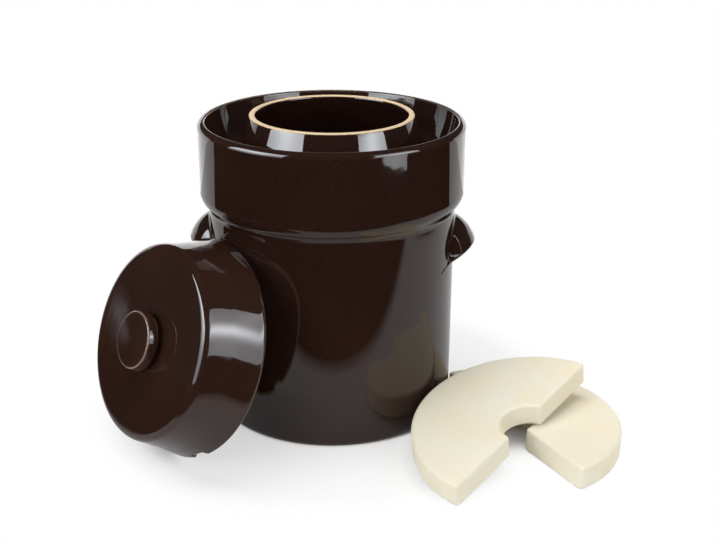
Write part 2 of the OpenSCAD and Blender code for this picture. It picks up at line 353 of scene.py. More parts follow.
def add_mesh(name, points, faces, values, material):
    """A smooth mesh object, with named numbers for each point kept as attributes."""
    mesh = bpy.data.meshes.new(name)
    mesh.from_pydata(points.tolist(), [], faces)
    for label, value in values.items():
        attribute = mesh.attributes.new(label, "FLOAT", "POINT")
        attribute.data.foreach_set("value", value.astype(np.float32))
    mesh.polygons.foreach_set("use_smooth", np.ones(len(mesh.polygons), bool))
    mesh.materials.append(material)
    made = bpy.data.objects.new(name, mesh)
    bpy.context.scene.collection.objects.link(made)
    return made


def add_piece(name, grid, values, material, body, loop=True):
    """Makes a piece of a grid of points (rows, columns, 3) whose columns close on themselves, and
    whose last row joins the first one if loop.

    values are named numbers for each point. The piece is shaded smooth apart from true corners,
    rides on a body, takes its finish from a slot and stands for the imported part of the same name.
    """
    points = grid.reshape(-1, 3)
    first, squares, triangles = welded(points, grid_faces(*grid.shape[:2], loop))
    kept = points[first]
    split = np.concatenate([triangles, squares[:, [0, 1, 2]], squares[:, [0, 2, 3]]])
    if signed_volume(kept, split) < 0:
        squares, triangles = squares[:, ::-1], triangles[:, ::-1]
    values = {label: value.reshape(-1)[first] for label, value in values.items()}
    piece = add_mesh(name, kept, squares.tolist() + triangles.tolist(), values, material)
    piece.data.set_sharp_from_angle(angle=SHARP)
    piece.data.validate()
    piece.data.update()
    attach(piece, body)
    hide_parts(name)
    return piece


def round_angles(count=288):
    """Evenly spaced angles round the axis."""
    return np.arange(count) * 2 * np.pi / count


def turned(outline, angles):
    """A surface of revolution: each (r, z) of the outline goes to (r cos a, r sin a, z)."""
    r, z = outline[:, 0, None], outline[:, 1, None]
    return np.stack([r * np.cos(angles), r * np.sin(angles), z + 0 * angles], 2)


def along(values, columns):
    """Repeats one value for each outline point over all the columns of its grid."""
    return np.repeat(np.asarray(values)[:, None], columns, 1)


def from_axis(points, scale):
    """Points taken to scale times their distance from the z axis, at the same height."""
    return points * np.stack([scale, scale, np.ones_like(scale)], -1)


def wall_hollows(points, depth, full=100 * MM):
    """Slow hollows in a turned wall, as from throwing: points move towards the axis by
    depth (1 + sin(2a + 30z + 0.7) cos(3a - 24z)) / 2 at angle a and height z, from the radius full
    outwards, and by less and less nearer to the axis."""
    a = np.arctan2(points[..., 1], points[..., 0])
    z = points[..., 2]
    r = np.hypot(points[..., 0], points[..., 1])
    fall = depth * (1 + np.sin(2 * a + 30 * z + 0.7) * np.cos(3 * a - 24 * z)) / 2
    return from_axis(points, 1 - fall / full * np.clip(r / full, 0, 1))


def glaze_values(thin, bare, columns):
    """How thin the glaze lies and where the clay is bare, for each point of a turned grid.

    The glaze is thin where it stops short of bare clay too: most where bare is one half.
    """
    edge = 0.9 * np.clip(4 * bare * (1 - bare), 0, 1)
    return {"thin": along(np.maximum(thin, edge), columns), "bare": along(bare, columns)}


# Pot and gutter ring

def pot_outline(pot):
    """Section of the pot: recessed base, bare foot ring, straight wall up to the joint, inside."""
    foot = pot.radius - pot.foot_round - pot.foot_width
    inside = pot.radius - pot.wall
    return [
        [0, pot.recess, 0],
        [foot, pot.recess, pot.recess_round],
        [foot, 0, pot.foot_edge],
        [pot.radius, 0, pot.foot_round],
        [pot.radius, pot.top, 0],
        [inside, pot.top, 0],
        [inside, pot.base, pot.inside_round],
        [0, pot.base, 0],
    ]


def ring_outline(pot, ring):
    """Section of the gutter ring: swell of two arcs, collar, gutter, conical neck and underside.

    The swell leaves the wall upright, leans out by twice the angle of its chord and ends upright on
    the collar, so its two arcs share the overhang. At a share t of its depth, the gutter's outside has
    come in by its lean times t (start + (1 - start) t).
    """
    inside = pot.radius - pot.wall
    outside = pot.radius + ring.over
    rim = pot.top + ring.height
    lip = rim + ring.rise
    floor = rim - ring.depth
    under = floor - ring.floor
    lean = 2 * math.atan(ring.over / ring.swell)
    arcs = ring.swell / math.sin(lean)
    low, high = ring.swell_share * arcs, (1 - ring.swell_share) * arcs
    bend_low = pot.top + low * math.tan(lean / 2)
    bend_high = bend_low + ring.over / math.tan(lean)
    slope = (ring.neck_foot - ring.lip) / (lip - floor)
    neck_in = ring.lip - ring.neck_wall
    lip_round = ring.neck_wall / 2 - ring.lip_flat
    gutter = outside - ring.rim
    below = outside - ring.wall
    share = np.linspace(0.08, 0.68, 13)
    inwards = ring.lean * share * (ring.start + (1 - ring.start) * share)
    hollow = [[gutter - i, rim - ring.depth * d, 0] for i, d in zip(inwards, share)]
    return [
        [pot.radius, pot.top, 0],
        [pot.radius, bend_low, low],
        [outside, bend_high, high],
        [outside, rim, ring.rim_out],
        # Thin glaze on the rim's inner edge: partly real glaze break, partly painted highlight.
        [gutter, rim, ring.rim_in, 0.5],
        *hollow,
        [gutter - ring.lean, floor, ring.gutter_out],
        [ring.neck_foot, floor, ring.gutter_in],
        [ring.lip, lip, lip_round],
        [neck_in, lip, lip_round],
        [neck_in + slope * (lip - under), under, ring.under_round],
        [below, under, ring.under_round],
        [below, bend_high, low],
        [inside, bend_low, high],
        [inside, pot.top, 0],
    ]


class CROCK_OT_pot(bpy.types.Operator):
    """Build the pot"""

    bl_idname = "crock.pot"
    bl_label = "Pot"

    def execute(self, context):
        pot = context.scene.crock.pot
        outline, thin = rounded_outline(pot_outline(pot))
        angles = round_angles()
        grid = wall_hollows(turned(outline, angles), pot.uneven)
        r, z = outline.T
        under = (z < pot.recess + 0.1 * MM) & (r < pot.radius - pot.foot_round)
        bare = np.where(under, 1.0, 1 - smooth_step(*FOOT_FADE, z))
        values = glaze_values(thin, bare, len(angles))
        add_piece("pot", grid, values, glaze_material("Pot glaze"), "crock")
        return {"FINISHED"}


class CROCK_OT_ring(bpy.types.Operator):
    """Build the gutter ring with its collar and neck"""

    bl_idname = "crock.ring"
    bl_label = "Gutter ring"

    def execute(self, context):
        pot, ring = context.scene.crock.pot, context.scene.crock.ring
        outline, thin = rounded_outline(ring_outline(pot, ring), line_step=3 * MM)
        angles = round_angles()
        grid = wall_hollows(turned(outline, angles), pot.uneven)
        r, z = outline.T
        near = np.abs(r - ring.lip) < 3 * ring.neck_wall
        edge = pot.top + ring.height + ring.rise - ring.bare
        bare = near * smooth_step(*LIP_FADE, z - edge)
        values = glaze_values(thin, bare, len(angles))
        add_piece("gutter_ring", grid, values, glaze_material("Ring glaze"), "crock")
        return {"FINISHED"}


# Shell handles

def ray_to_round(start, way, radius, near=False):
    """Distance along a ray to a ball about the origin or, in two coordinates, to an upright wall.

    It is the far root of a t^2 + 2 b t + c = 0, or the near one, which is a metre for a ray that misses.
    """
    a = np.maximum((way**2).sum(-1), 1e-6)
    b = (start * way).sum(-1)
    square = b * b - a * ((start**2).sum() - radius * radius)
    root = np.sqrt(np.maximum(square, 0))
    if near:
        return np.where((square > 0) & (b < 0), (-b - root) / a, 1.0)
    return (root - b) / a


def kept_in_wall(points, radius):
    """Points nearer to the axis than radius are moved straight out to it."""
    r = np.maximum(np.hypot(points[..., 0], points[..., 1]), 1e-6)
    return from_axis(points, np.maximum(radius / r, 1))


def shell_grid(pot, handle, columns=200, outer_rows=72, rim_rows=16, inner_rows=44, tries=12):
    """A shell handle on the +x side, as one closed grid from its buried pole to its inner pole, and
    how thin the glaze lies on it.

    Outside, a ray from the ball's centre ends at the larger of the ball's radius and the wall's
    distance, softly joined. Inside, a ray from a point in the hollow ends at the smaller of the
    distances to the wall and to the inner ball, softly joined. The rim between them is half of a
    rounded square, |x|^p + |y|^p = 1, that hangs down to the rim's plane. Each stretch sinks a
    little into the wall.
    """
    sunk_outer, sunk_rim, sunk_inner = 2 * MM, 1.6 * MM, 1.2 * MM
    buried = pot.radius - 0.1 * MM
    longest = handle.radius + 14 * MM
    guess = math.radians(75)
    # Lighter glaze on the rim's crest: partly real glaze break, partly painted highlight.
    worn = 0.35
    centre = np.array([pot.radius + handle.reach - handle.radius, 0, pot.top - handle.drop])
    up = np.array([-math.sin(handle.tilt), 0, math.cos(handle.tilt)])
    out = np.array([math.cos(handle.tilt), 0, math.sin(handle.tilt)])
    side = np.array([0, 1.0, 0])

    def fan(turn, polar):
        """Directions at a turn about the rim's axis and an angle from it."""
        return np.sin(polar) * (np.cos(turn) * out + np.sin(turn) * side) + np.cos(polar) * up

    tip = centre + np.array([math.sqrt(handle.radius**2 - handle.lift**2), 0, handle.lift])
    plane = (tip - centre) @ up
    cap = handle.rim_hang * handle.wall
    turn = round_angles(columns)[None, :, None]
    last = math.acos((plane + cap) / handle.radius)
    way = fan(turn, np.linspace(0, last, outer_rows)[:, None, None])
    far = np.minimum(ray_to_round(centre[:2], way[..., :2], buried), longest)
    outer = centre + smooth_max(handle.radius, far, handle.blend)[..., None] * way
    outer = kept_in_wall(outer, pot.radius - sunk_outer)

    inner_radius = handle.radius - handle.wall
    inner_tip = centre + plane * up + math.sqrt(inner_radius**2 - plane**2) * out
    wall_foot = np.array([pot.radius, 0, tip[2] - (tip[0] - pot.radius) * math.tan(handle.tilt)])
    hollow = (inner_tip + wall_foot) / 2
    seen = outer[-1] - hollow
    turn_in = np.arctan2(seen @ side, seen @ out)[None, :, None]

    def to_hollow(ways):
        """Distance from the middle of the hollow to its surface."""
        wall = ray_to_round(hollow[:2], ways[..., :2], buried, near=True)
        ball = ray_to_round(hollow - centre, ways, inner_radius)
        return -smooth_max(-wall, -ball, handle.crease)

    first = np.full((1, columns, 1), guess)
    for _ in range(tries):
        reach = to_hollow(fan(turn_in, first))[..., None]
        first = np.arccos(np.clip(cap / reach, 0, 1))
    way_in = fan(turn_in, np.linspace(1, 0, inner_rows)[:, None, None] * first)
    inner = hollow + to_hollow(way_in)[..., None] * way_in
    inner = kept_in_wall(inner, pot.radius - sunk_inner)

    psi = np.linspace(0, np.pi, rim_rows + 2)[1:-1, None, None]
    across = np.sign(np.cos(psi)) * np.abs(np.cos(psi)) ** (2 / handle.rim_power)
    down = np.abs(np.sin(psi)) ** (2 / handle.rim_power)
    middle, reach = (outer[-1] + inner[0]) / 2, (outer[-1] - inner[0]) / 2
    hang = ((middle - centre) @ up - plane)[None, :, None]
    rim = middle + across * reach - down * hang * up
    rim = kept_in_wall(rim, pot.radius - sunk_rim)
    thin = np.zeros((outer_rows + rim_rows + inner_rows, columns))
    # Lighter glaze on the rim: partly real glaze break, partly painted highlight.
    thin[outer_rows : outer_rows + rim_rows] = worn * np.sin(psi[:, :, 0]) ** 4
    return np.concatenate([outer, rim, inner]), thin


class CROCK_OT_handles(bpy.types.Operator):
    """Build the two shell handles"""

    bl_idname = "crock.handles"
    bl_label = "Handles"

    def execute(self, context):
        crock = context.scene.crock
        grid, thin = shell_grid(crock.pot, crock.handle)
        values = {"thin": thin, "bare": 0 * thin}
        glaze = glaze_material("Handle glaze")
        for name, turn in (("handle_right", 0.0), ("handle_left", math.pi)):
            a = turn + crock.handle.turn
            spin = np.array([[math.cos(a), -math.sin(a), 0], [math.sin(a), math.cos(a), 0], [0, 0, 1]])
            add_piece(name, grid @ spin.T, values, glaze, "crock")
        return {"FINISHED"}


# Lid

def node_points(node):
    """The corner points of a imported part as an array."""
    mesh = frame["nodes"][node].data
    flat = np.empty(len(mesh.vertices) * 3, np.float32)
    mesh.vertices.foreach_get("co", flat)
    return flat.reshape(-1, 3).astype(float)


def centred(origin, points, ways):
    """An origin moved along some directions to the middle of the points' reach."""
    for way in ways:
        reach = points @ way
        origin = origin + way * (reach.min() + reach.max()) / 2
    return origin


def lid_frame():
    """Origin and axes of the leaning lid, with its rim at 0 and its top along the third axis.

    The axis is that of the lid's joint. The knob is round, so the middle of its reach both ways
    across gives the axis's place, and the cap's lowest reach along the axis gives the rim.
    """
    joint = next(j for j in frame["joints"] if j["name"] == "lid_lift")
    axis = np.array(joint["axis"], float)
    axis /= np.linalg.norm(axis)
    side = np.cross([0, 0, 1.0], axis)
    side /= np.linalg.norm(side)
    down = np.cross(side, axis)
    rim = axis * (node_points("lid_cap") @ axis).min()
    return centred(rim, node_points("lid_knob"), (down, side)), np.stack([down, side, axis])


def lid_outline(lid):
    """Section of the lid: rim, hollowed skirt, rounded shoulder, top and the same again inside."""
    height = lid.inside + lid.top
    middle = lid.dip_share * height
    neck = lid.radius - lid.taper
    bow = lid.radius - lid.taper * lid.dip_share - lid.dip
    return [
        # Thin glaze on the rim's outer edge: partly real glaze break, partly painted highlight.
        [lid.radius, 0, lid.edge, 0.8],
        [bow, middle, lid.dip_round],
        [neck, height, lid.shoulder],
        [0, height, 0],
        [0, lid.inside, 0],
        [neck - lid.wall, lid.inside, lid.inside_round],
        [bow - lid.wall, middle, lid.dip_round],
        [lid.radius - lid.wall, 0, lid.edge_in],
    ]


def notch_angles(lid, count=240, fine=48):
    """Angles round the lid, closer together over the gas notch."""
    half = 0.75 * lid.notch_width / lid.radius
    start = lid.notch_turn + half
    coarse = np.linspace(start, lid.notch_turn - half + 2 * np.pi, count, endpoint=False)
    close = np.linspace(lid.notch_turn - half, start, fine, endpoint=False)
    return np.concatenate([close, coarse])


def with_notch(grid, lid, outline, angles):
    """A turned lid with the gas notch in its rim: points near the rim rise by the notch's height
    within its width, less and less further up, and come in with the skirt's slope."""
    away = lid.radius * np.abs((angles - lid.notch_turn + np.pi) % (2 * np.pi) - np.pi)
    half, soft = lid.notch_width / 2, 1 * MM
    full, none = 3 * MM, 15 * MM
    notch = lid.notch_height * (1 - smooth_step(half - soft, half + soft, away))
    lift = (1 - smooth_step(full, none, outline[:, 1]))[:, None] * notch
    slope = (lid.taper * lid.dip_share + lid.dip) / (lid.dip_share * (lid.inside + lid.top))
    r = np.maximum(np.hypot(grid[..., 0], grid[..., 1]), WELD)
    grid = from_axis(grid, 1 - slope * lift / r)
    grid[..., 2] += lift
    return grid


class CROCK_OT_lid(bpy.types.Operator):
    """Build the lid with the gas notch in its rim"""

    bl_idname = "crock.lid"
    bl_label = "Lid"

    def execute(self, context):
        crock = context.scene.crock
        outline, thin = rounded_outline(lid_outline(crock.lid), arc_steps=16, line_step=3 * MM)
        angles = notch_angles(crock.lid)
        grid = wall_hollows(turned(outline, angles), 1.4 * crock.pot.uneven)
        grid = with_notch(grid, crock.lid, outline, angles)
        bare = 1 - smooth_step(*RIM_FADE, outline[:, 1])
        values = glaze_values(thin, bare, len(angles))
        origin, axes = lid_frame()
        # The lid's glaze is a lighter copy of the brown: painted light.
        glaze = glaze_material("Lid glaze", crock.glaze.lid_fire)
        add_piece("lid_cap", origin + grid @ axes, values, glaze, "lid")
        return {"FINISHED"}


def knob_outline(lid):
    """Section of the knob: tenon in the lid, flared waist, and a button with a slightly raised face."""
    button = lid.knob_height * (1 - lid.button_share)
    foot = lid.waist + lid.waist_flare
    sunk = 0.1 * MM
    return [
        [0, -lid.tenon, 0],
        [foot, -lid.tenon, 0],
        [foot, -sunk, 0],
        [lid.waist, -sunk, 0.97 * lid.waist_flare],
        [lid.waist, button, lid.waist_round],
        [lid.knob + lid.knob_swell, button, lid.knob_back],
        # Thin glaze on the button's front edge: partly real glaze break, partly painted highlight.
        [lid.knob - lid.knob_taper, lid.knob_height - lid.knob_crown, lid.knob_edge, 1.0],
        [0, lid.knob_height, 0],
    ]


class CROCK_OT_knob(bpy.types.Operator):
    """Build the knob on the lid"""

    bl_idname = "crock.knob"
    bl_label = "Knob"

    def execute(self, context):
        crock = context.scene.crock
        outline, thin = rounded_outline(knob_outline(crock.lid), arc_steps=12, line_step=1.5 * MM)
        angles = round_angles(192)
        grid = turned(outline, angles)
        grid[..., 2] += crock.lid.inside + crock.lid.top
        values = glaze_values(thin, 0 * thin, len(angles))
        origin, axes = lid_frame()
        # The knob's glaze is a lighter copy of the brown: painted light.
        glaze = glaze_material("Knob glaze", crock.glaze.knob_fire)
        add_piece("lid_knob", origin + grid @ axes, values, glaze, "lid")
        return {"FINISHED"}


# Weight stones

def stone_frame(node, stone):
    """Origin and axes of a packed half ring: the cut runs along the first axis, the ring lies on the
    side of the second one and the origin is the ring's centre at half its thickness.

    A half ring mirrors across its middle plane and across its own middle, so the directions of least
    and of greatest spread of its points are its upright and its cut. It is widest next to the cut.
    """
    points = node_points(node)
    _, vectors = np.linalg.eigh(np.cov((points - points.mean(0)).T))
    upright, middle, cut = vectors.T[np.argsort(np.ptp(points @ vectors, axis=0))]
    upright = upright * np.sign(upright[2])
    span = points @ middle
    near = np.abs(span - span.min()) < 0.1 * np.ptp(span)
    far = np.abs(span - span.max()) < 0.1 * np.ptp(span)
    if np.ptp(points[near] @ cut) < np.ptp(points[far] @ cut):
        middle, span = -middle, -span
    cut = np.cross(middle, upright)
    origin = middle * (span.max() - stone.radius - stone.ease)
    return centred(origin, points, (cut, upright)), np.stack([cut, middle, upright])


def half_ring_outline(stone, arc=120, corner=9, straight=28):
    """The half ring's plan, drawn in by the edge rounding: places, outward directions and the
    points of the middle arc that they belong to.

    It runs along the outer arc, round a corner, along one cut, round a corner, back along the inner
    arc, and the mirror image of that end on the other side. At a corner the place stays and the
    direction turns.
    """
    outer, inner = stone.radius - stone.edge, stone.hole + stone.edge
    middle = (outer + inner) / 2
    line = stone.cut + stone.edge
    start_out, start_in = math.asin(line / outer), math.asin(line / inner)
    start_mid = math.asin((line + (outer - inner) / 2) / middle)
    share = np.linspace(0, 1, arc)
    bend = np.linspace(0, 1, corner)[1:-1]
    step = np.linspace(0, 1, straight)[1:-1, None]

    def over(start):
        """Angles of an arc from one cut to the other."""
        return start + share * (np.pi - 2 * start)

    def on_arc(radius, angles):
        """Points of an arc about the ring's centre."""
        return radius * np.stack([np.cos(angles), np.sin(angles)], 1)

    def turn(place, first, last):
        """One corner's place again and again, and its directions from one angle to another."""
        return np.repeat(place[None], len(bend), 0), on_arc(1.0, first + bend * (last - first))

    tip_out = np.array([-outer * math.cos(start_out), line])
    tip_in = np.array([-inner * math.cos(start_in), line])
    end_places, end_ways = (np.concatenate(part) for part in zip(
        turn(tip_out, np.pi - start_out, 1.5 * np.pi),
        (tip_out + step * (tip_in - tip_out), np.repeat([[0.0, -1.0]], len(step), 0)),
        turn(tip_in, -0.5 * np.pi, -start_in)))
    mirror = np.array([-1, 1])
    a_out, a_in = over(start_out), over(start_in)[::-1]
    spine = on_arc(middle, over(start_mid))
    ends = len(end_places)
    places = on_arc(outer, a_out), end_places, on_arc(inner, a_in), mirror * end_places[::-1]
    ways = on_arc(1.0, a_out), end_ways, -on_arc(1.0, a_in), mirror * end_ways[::-1]
    spines = spine, np.repeat(spine[-1:], ends, 0), spine[::-1], np.repeat(spine[:1], ends, 0)
    return [np.concatenate(part) for part in (places, ways, spines)]


def half_ring_grid(stone, faces=9, rounds=9):
    """A half ring with all its edges rounded, as one closed grid.

    A row starts at the middle arc on the top face, runs out to the plan, round a quarter circle of
    the edge rounding, down the side, round again and back under to the middle arc. The flat faces
    fall away from the middle arc by crown times the square of the share of the way out.
    """
    places, ways, spine = half_ring_outline(stone)
    half = stone.thickness / 2
    share = np.linspace(0, 1, faces)[:-1, None, None]
    plan = spine + share * (places - spine)
    fall = stone.crown * share[..., 0] ** 2 + 0 * plan[..., 0]
    quarter = np.linspace(np.pi / 2, 0, rounds)[:, None, None]
    edge = places + stone.edge * np.cos(quarter) * ways
    edge_z = half - stone.edge + (stone.edge - stone.crown) * np.sin(quarter[..., 0])
    top = np.concatenate([plan, edge])
    top_z = np.concatenate([half - fall, edge_z + 0 * edge[..., 0]])
    return np.concatenate([np.dstack([top, top_z]), np.dstack([top, -top_z])[::-1]])


def hand_finish(points, depth, seed, waves=75):
    """Faint unevenness of a pressed and sponged face: depth times the mean of three slow sine waves
    of that many radians to the metre, each with its own direction and start."""
    draw = np.random.default_rng(seed)
    ways = draw.normal(size=(3, 3))
    ways = waves * ways / np.linalg.norm(ways, axis=1)[:, None]
    starts = draw.uniform(0, 2 * np.pi, 3)
    return depth * np.sin(points @ ways.T + starts).mean(-1)


class CROCK_OT_stones(bpy.types.Operator):
    """Build the two half-ring weight stones"""

    bl_idname = "crock.stones"
    bl_label = "Weight stones"

    def execute(self, context):
        stone = context.scene.crock.stone
        clay = stone_material("Stone clay")
        for seed, name in ((11, "stone_lower"), (12, "stone_upper")):
            grid = half_ring_grid(stone)
            wave = hand_finish(grid, stone.finish, seed)
            grid[..., 2] -= np.sign(grid[..., 2]) * (stone.finish + wave)
            origin, axes = stone_frame(name, stone)
            add_piece(name, origin + grid @ axes, {}, clay, name, loop=False)
        return {"FINISHED"}


# Materials

class Tree:
    """A node tree with short calls for adding nodes, setting their values and joining them."""

    def __init__(self, owner):
        owner.use_nodes = True
        self.tree = owner.node_tree
        self.tree.nodes.clear()

    def add(self, kind, values=None, **settings):
        """Adds a node, sets its own settings, and sets or joins its inputs by name or number."""
        node = self.tree.nodes.new(kind)
        for key, value in settings.items():
            setattr(node, key, value)
        for key, value in (values or {}).items():
            self.put(node.inputs[key], value)
        return node

    def put(self, socket, value):
        """Joins an output to a socket, or sets the socket's value."""
        if isinstance(value, bpy.types.NodeSocket):
            self.tree.links.new(value, socket)
        else:
            socket.default_value = value

    def math(self, operation, *values, clamp=False):
        """One Math node."""
        inputs = dict(enumerate(values))
        return self.add("ShaderNodeMath", inputs, operation=operation, use_clamp=clamp).outputs[0]

    def plus(self, a, b):
        """The sum of two values."""
        return self.math("ADD", a, b)

    def times(self, a, b):
        """The product of two values."""
        return self.math("MULTIPLY", a, b)

    def mix(self, share, a, b, blend="MIX"):
        """One Mix node for colours."""
        node = self.add("ShaderNodeMix", data_type="RGBA", blend_type=blend)
        self.put(node.inputs["Factor"], share)
        self.put(node.inputs[6], a)
        self.put(node.inputs[7], b)
        return node.outputs[2]

    def blend(self, share, a, b):
        """One shader mixed of two."""
        return self.add("ShaderNodeMixShader", {0: share, 1: a, 2: b}).outputs[0]

    def noise(self, place, scale, detail=2.0, rough=0.5):
        """The value of a noise texture of that many cells to the metre."""
        return self.add("ShaderNodeTexNoise", {
            "Vector": place, "Scale": scale, "Detail": detail, "Roughness": rough}).outputs["Fac"]

    def ramp(self, value, low, high):
        """Rises smoothly from 0 at low to 1 at high."""
        node = self.add("ShaderNodeMapRange", {
            "Value": value, "From Min": low, "From Max": high}, interpolation_type="SMOOTHSTEP")
        return node.outputs["Result"]

    def attribute(self, name):
        """A piece's own number at each point."""
        return self.add("ShaderNodeAttribute", attribute_name=name).outputs["Fac"]

    def emission(self, tint, strength):
        """Plain light of one colour."""
        return self.add("ShaderNodeEmission", {"Color": tint, "Strength": strength}).outputs[0]

    def plain_rays(self):
        """1 for rays from the camera, from gloss and through glass, 0 for those that light things."""
        path = self.add("ShaderNodeLightPath").outputs
        seen = self.plus(path["Is Camera Ray"], path["Is Glossy Ray"])
        return self.math("ADD", seen, path["Is Transmission Ray"], clamp=True)


class GroupTree(Tree):
    """A new shader node group with named sockets, given as names and kinds, and its two end nodes."""

    def __init__(self, name, inputs):
        self.tree = bpy.data.node_groups.new(name, "ShaderNodeTree")
        outputs = {"Color": "Color", "Roughness": "Float", "Height": "Float"}
        for way, sockets in (("INPUT", inputs), ("OUTPUT", outputs)):
            for label, kind in sockets.items():
                self.tree.interface.new_socket(label, in_out=way, socket_type="NodeSocket" + kind)
        self.given = self.add("NodeGroupInput").outputs
        self.result = self.add("NodeGroupOutput").inputs


def opaque(rgb):
    """A colour with full alpha."""
    return (*rgb, 1.0)


def clay_grain_group():
    """Fired clay: slow drifts between two colours, small pores and a fine sandy height."""
    if "clay_grain" in bpy.data.node_groups:
        return bpy.data.node_groups["clay_grain"]
    t = GroupTree("clay_grain", {
        "Place": "Vector", "Body": "Color", "Warm": "Color", "Pit": "Color", "Pores": "Float"})
    place = t.given["Place"]
    drift = t.ramp(t.noise(place, 24, 3), 0.35, 0.68)
    tint = t.mix(drift, t.given["Body"], t.given["Warm"])
    sand = t.noise(place, 900, 3, 0.6)
    cells = t.add("ShaderNodeTexVoronoi", {"Vector": place, "Scale": 260.0}, feature="F1")
    chance = t.ramp(t.noise(place, 95, 2), 0.50, 0.66)
    pit = t.times(t.math("SUBTRACT", 1.0, t.ramp(cells.outputs["Distance"], 0.10, 0.24)), chance)
    pit = t.times(pit, t.given["Pores"])
    speck = t.math("MULTIPLY_ADD", sand, 0.16, 0.92)
    grey = t.add("ShaderNodeCombineColor", {0: speck, 1: speck, 2: speck}).outputs[0]
    tint = t.mix(1.0, tint, grey, "MULTIPLY")
    t.put(t.result["Color"], t.mix(t.times(pit, 0.7), tint, t.given["Pit"]))
    t.put(t.result["Roughness"], t.plus(t.times(sand, 0.2), 0.72))
    height = t.math("SUBTRACT", t.times(sand, 0.5), pit)
    t.put(t.result["Height"], t.plus(height, t.times(t.noise(place, 140, 2), 0.9)))
    return t.tree


def glaze_flow_group():
    """Brown glaze: slow warm drifts, fine iron specks, lighter where thin, and bare clay beyond it.
    Where thin, the lighter colour is partly real glaze break and partly painted highlight.
    """
    if "glaze_flow" in bpy.data.node_groups:
        return bpy.data.node_groups["glaze_flow"]
    t = GroupTree("glaze_flow", {
        "Place": "Vector", "Thin": "Float", "Bare": "Float", "Deep": "Color", "Warm": "Color",
        "Edge": "Color", "Clay": "Color"})
    place, edge = t.given["Place"], t.given["Edge"]
    drift = t.ramp(t.noise(place, 16, 4), 0.32, 0.72)
    tint = t.mix(drift, t.given["Deep"], t.given["Warm"])
    specks = t.ramp(t.noise(place, 1300, 1), 0.66, 0.78)
    tint = t.mix(t.times(specks, 0.10), tint, edge)
    ragged = t.noise(place, 420, 3, 0.6)
    # The edge colour where the glaze is thin: partly real glaze break, partly painted highlight.
    tint = t.mix(t.times(t.given["Thin"], t.ramp(ragged, 0.15, 0.75)), tint, edge)
    worn = t.plus(t.given["Bare"], t.times(t.math("SUBTRACT", ragged, 0.5), 0.5))
    bare = t.ramp(worn, 0.40, 0.60)
    left = t.math("SUBTRACT", 1.0, bare)
    clay = t.add("ShaderNodeGroup", {
        "Place": place, "Body": t.given["Clay"], "Warm": t.given["Clay"], "Pit": edge,
        "Pores": 0.8}, node_tree=clay_grain_group()).outputs
    t.put(t.result["Color"], t.mix(bare, tint, clay["Color"]))
    gloss = t.plus(t.times(t.noise(place, 60, 3), 0.035), 0.022)
    gloss = t.plus(gloss, t.times(specks, 0.05))
    t.put(t.result["Roughness"], t.plus(t.times(gloss, left), t.times(clay["Roughness"], bare)))
    peel = t.plus(t.noise(place, 70, 1), t.times(t.noise(place, 310, 1), 0.10))
    grain = t.times(clay["Height"], t.times(bare, 2.0))
    t.put(t.result["Height"], t.plus(t.times(peel, left), grain))
    return t.tree


def blank_material(name):
    """A material with an empty tree, that tree, and the socket that takes its surface."""
    material = bpy.data.materials.new(name)
    t = Tree(material)
    return material, t, t.add("ShaderNodeOutputMaterial").inputs["Surface"]


def fired_surface(t, surface, group, values, strength, distance, ior):
    """A Principled shader whose colour, roughness and bump come from a node group on object
    coordinates."""
    shader = t.add("ShaderNodeBsdfPrincipled", {"IOR": ior})
    t.put(surface, shader.outputs["BSDF"])
    place = t.add("ShaderNodeTexCoord").outputs["Object"]
    finish = t.add("ShaderNodeGroup", {"Place": place, **values}, node_tree=group).outputs
    bump = t.add("ShaderNodeBump", {
        "Strength": strength, "Distance": distance, "Height": finish["Height"]})
    t.put(shader.inputs["Base Color"], finish["Color"])
    t.put(shader.inputs["Roughness"], finish["Roughness"])
    t.put(shader.inputs["Normal"], bump.outputs["Normal"])
    return shader


def glaze_material(name, painted_light=1.0):
    """Glossy brown glaze that reads how thin it lies and where the clay is bare. A piece that is to
    look more brightly lit has its brown times a gain: painted light, a lighter copy of the same glaze."""
    look = bpy.context.scene.crock.glaze
    material, t, surface = blank_material(name)
    fired_surface(t, surface, glaze_flow_group(), {
        "Thin": t.attribute("thin"), "Bare": t.attribute("bare"),
        "Deep": opaque(painted_light * part for part in look.deep),
        "Warm": opaque(painted_light * part for part in look.warm),
        "Edge": opaque(look.thin), "Clay": opaque(look.bare)},
        strength=1.0, distance=0.04 * MM, ior=look.ior)
    return material


def stone_material(name):
    """Matte cream clay of the weight stones."""
    look = bpy.context.scene.crock.clay
    material, t, surface = blank_material(name)
    shader = fired_surface(t, surface, clay_grain_group(), {
        "Body": opaque(look.body), "Warm": opaque(look.warm), "Pit": opaque(look.pit),
        "Pores": 0.25}, strength=0.6, distance=0.2 * MM, ior=1.45)
    shader.inputs["Specular IOR Level"].default_value = 0.3
    return material


# Stage

class Softbox(NamedTuple):
    """An upright flat light for reflections: its direction from the front and its own turn in
    degrees, its half width, distance and heights in metres, and how its glow is spread."""

    way: float
    reach: float
    distance: float
    low: float
    high: float
    turn: float = 0
    rest: float = 0.22
    peak: float = 0.87
    middle: float = 0.56
    band: float = 0.25
    even: float = 0.75
    foot: float = 0
    lean: float = 0
    corner: tuple = None


